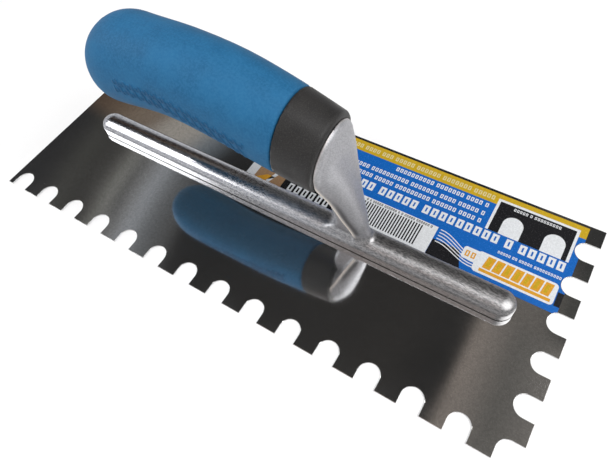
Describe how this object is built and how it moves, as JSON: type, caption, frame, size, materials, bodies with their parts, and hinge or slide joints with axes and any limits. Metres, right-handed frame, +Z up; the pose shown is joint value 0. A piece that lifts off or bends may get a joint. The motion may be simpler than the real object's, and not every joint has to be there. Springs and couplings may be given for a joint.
{
  "type": "notched trowel",
  "caption": "Rectangular flexible steel blade with U notches along one long and one short edge, a cast spine and shank above it, and an arched two-tone soft-grip handle.",
  "frame": {"origin": "centre of the underside of the blade, on the surface that the trowel lies on", "axes": "+X along the blade towards the notched short end (toe), +Y towards the plain long edge, +Z up through the spine and the handle"},
  "size_m": [0.2794, 0.1142, 0.0884],
  "materials": {
    "blade_steel": "bright polished stainless steel, nearly a mirror, with fine lengthwise drag lines",
    "cast_aluminium": "as-cast aluminium, softly brushed and bright on the spine, matte on the shank",
    "black_plastic": "matte moulded plastic with a fine texture",
    "blue_rubber": "soft matte thermoplastic rubber with a faint parting line and moulded grip texture",
    "fixing_steel": "zinc plated",
    "rivet_steel": "ground flush with the blade",
    "plug_plastic": "matte moulded plastic, a shade darker than the grip",
    "printed_label": "glossy printed film, blue with yellow, black and white areas"
  },
  "bodies": {
    "root": {"blade": "blade_steel", "mounting_casting": "cast_aluminium", "rivet_1": "rivet_steel", "rivet_2": "rivet_steel", "rivet_3": "rivet_steel", "rivet_4": "rivet_steel", "rivet_5": "rivet_steel", "rivet_6": "rivet_steel", "rivet_7": "rivet_steel", "rivet_8": "rivet_steel", "handle_core": "black_plastic", "soft_grip": "blue_rubber", "tie_rod": "fixing_steel", "butt_washer": "fixing_steel", "butt_nut": "fixing_steel", "butt_plug": "plug_plastic", "label": "printed_label"}
  },
  "joints": []
}
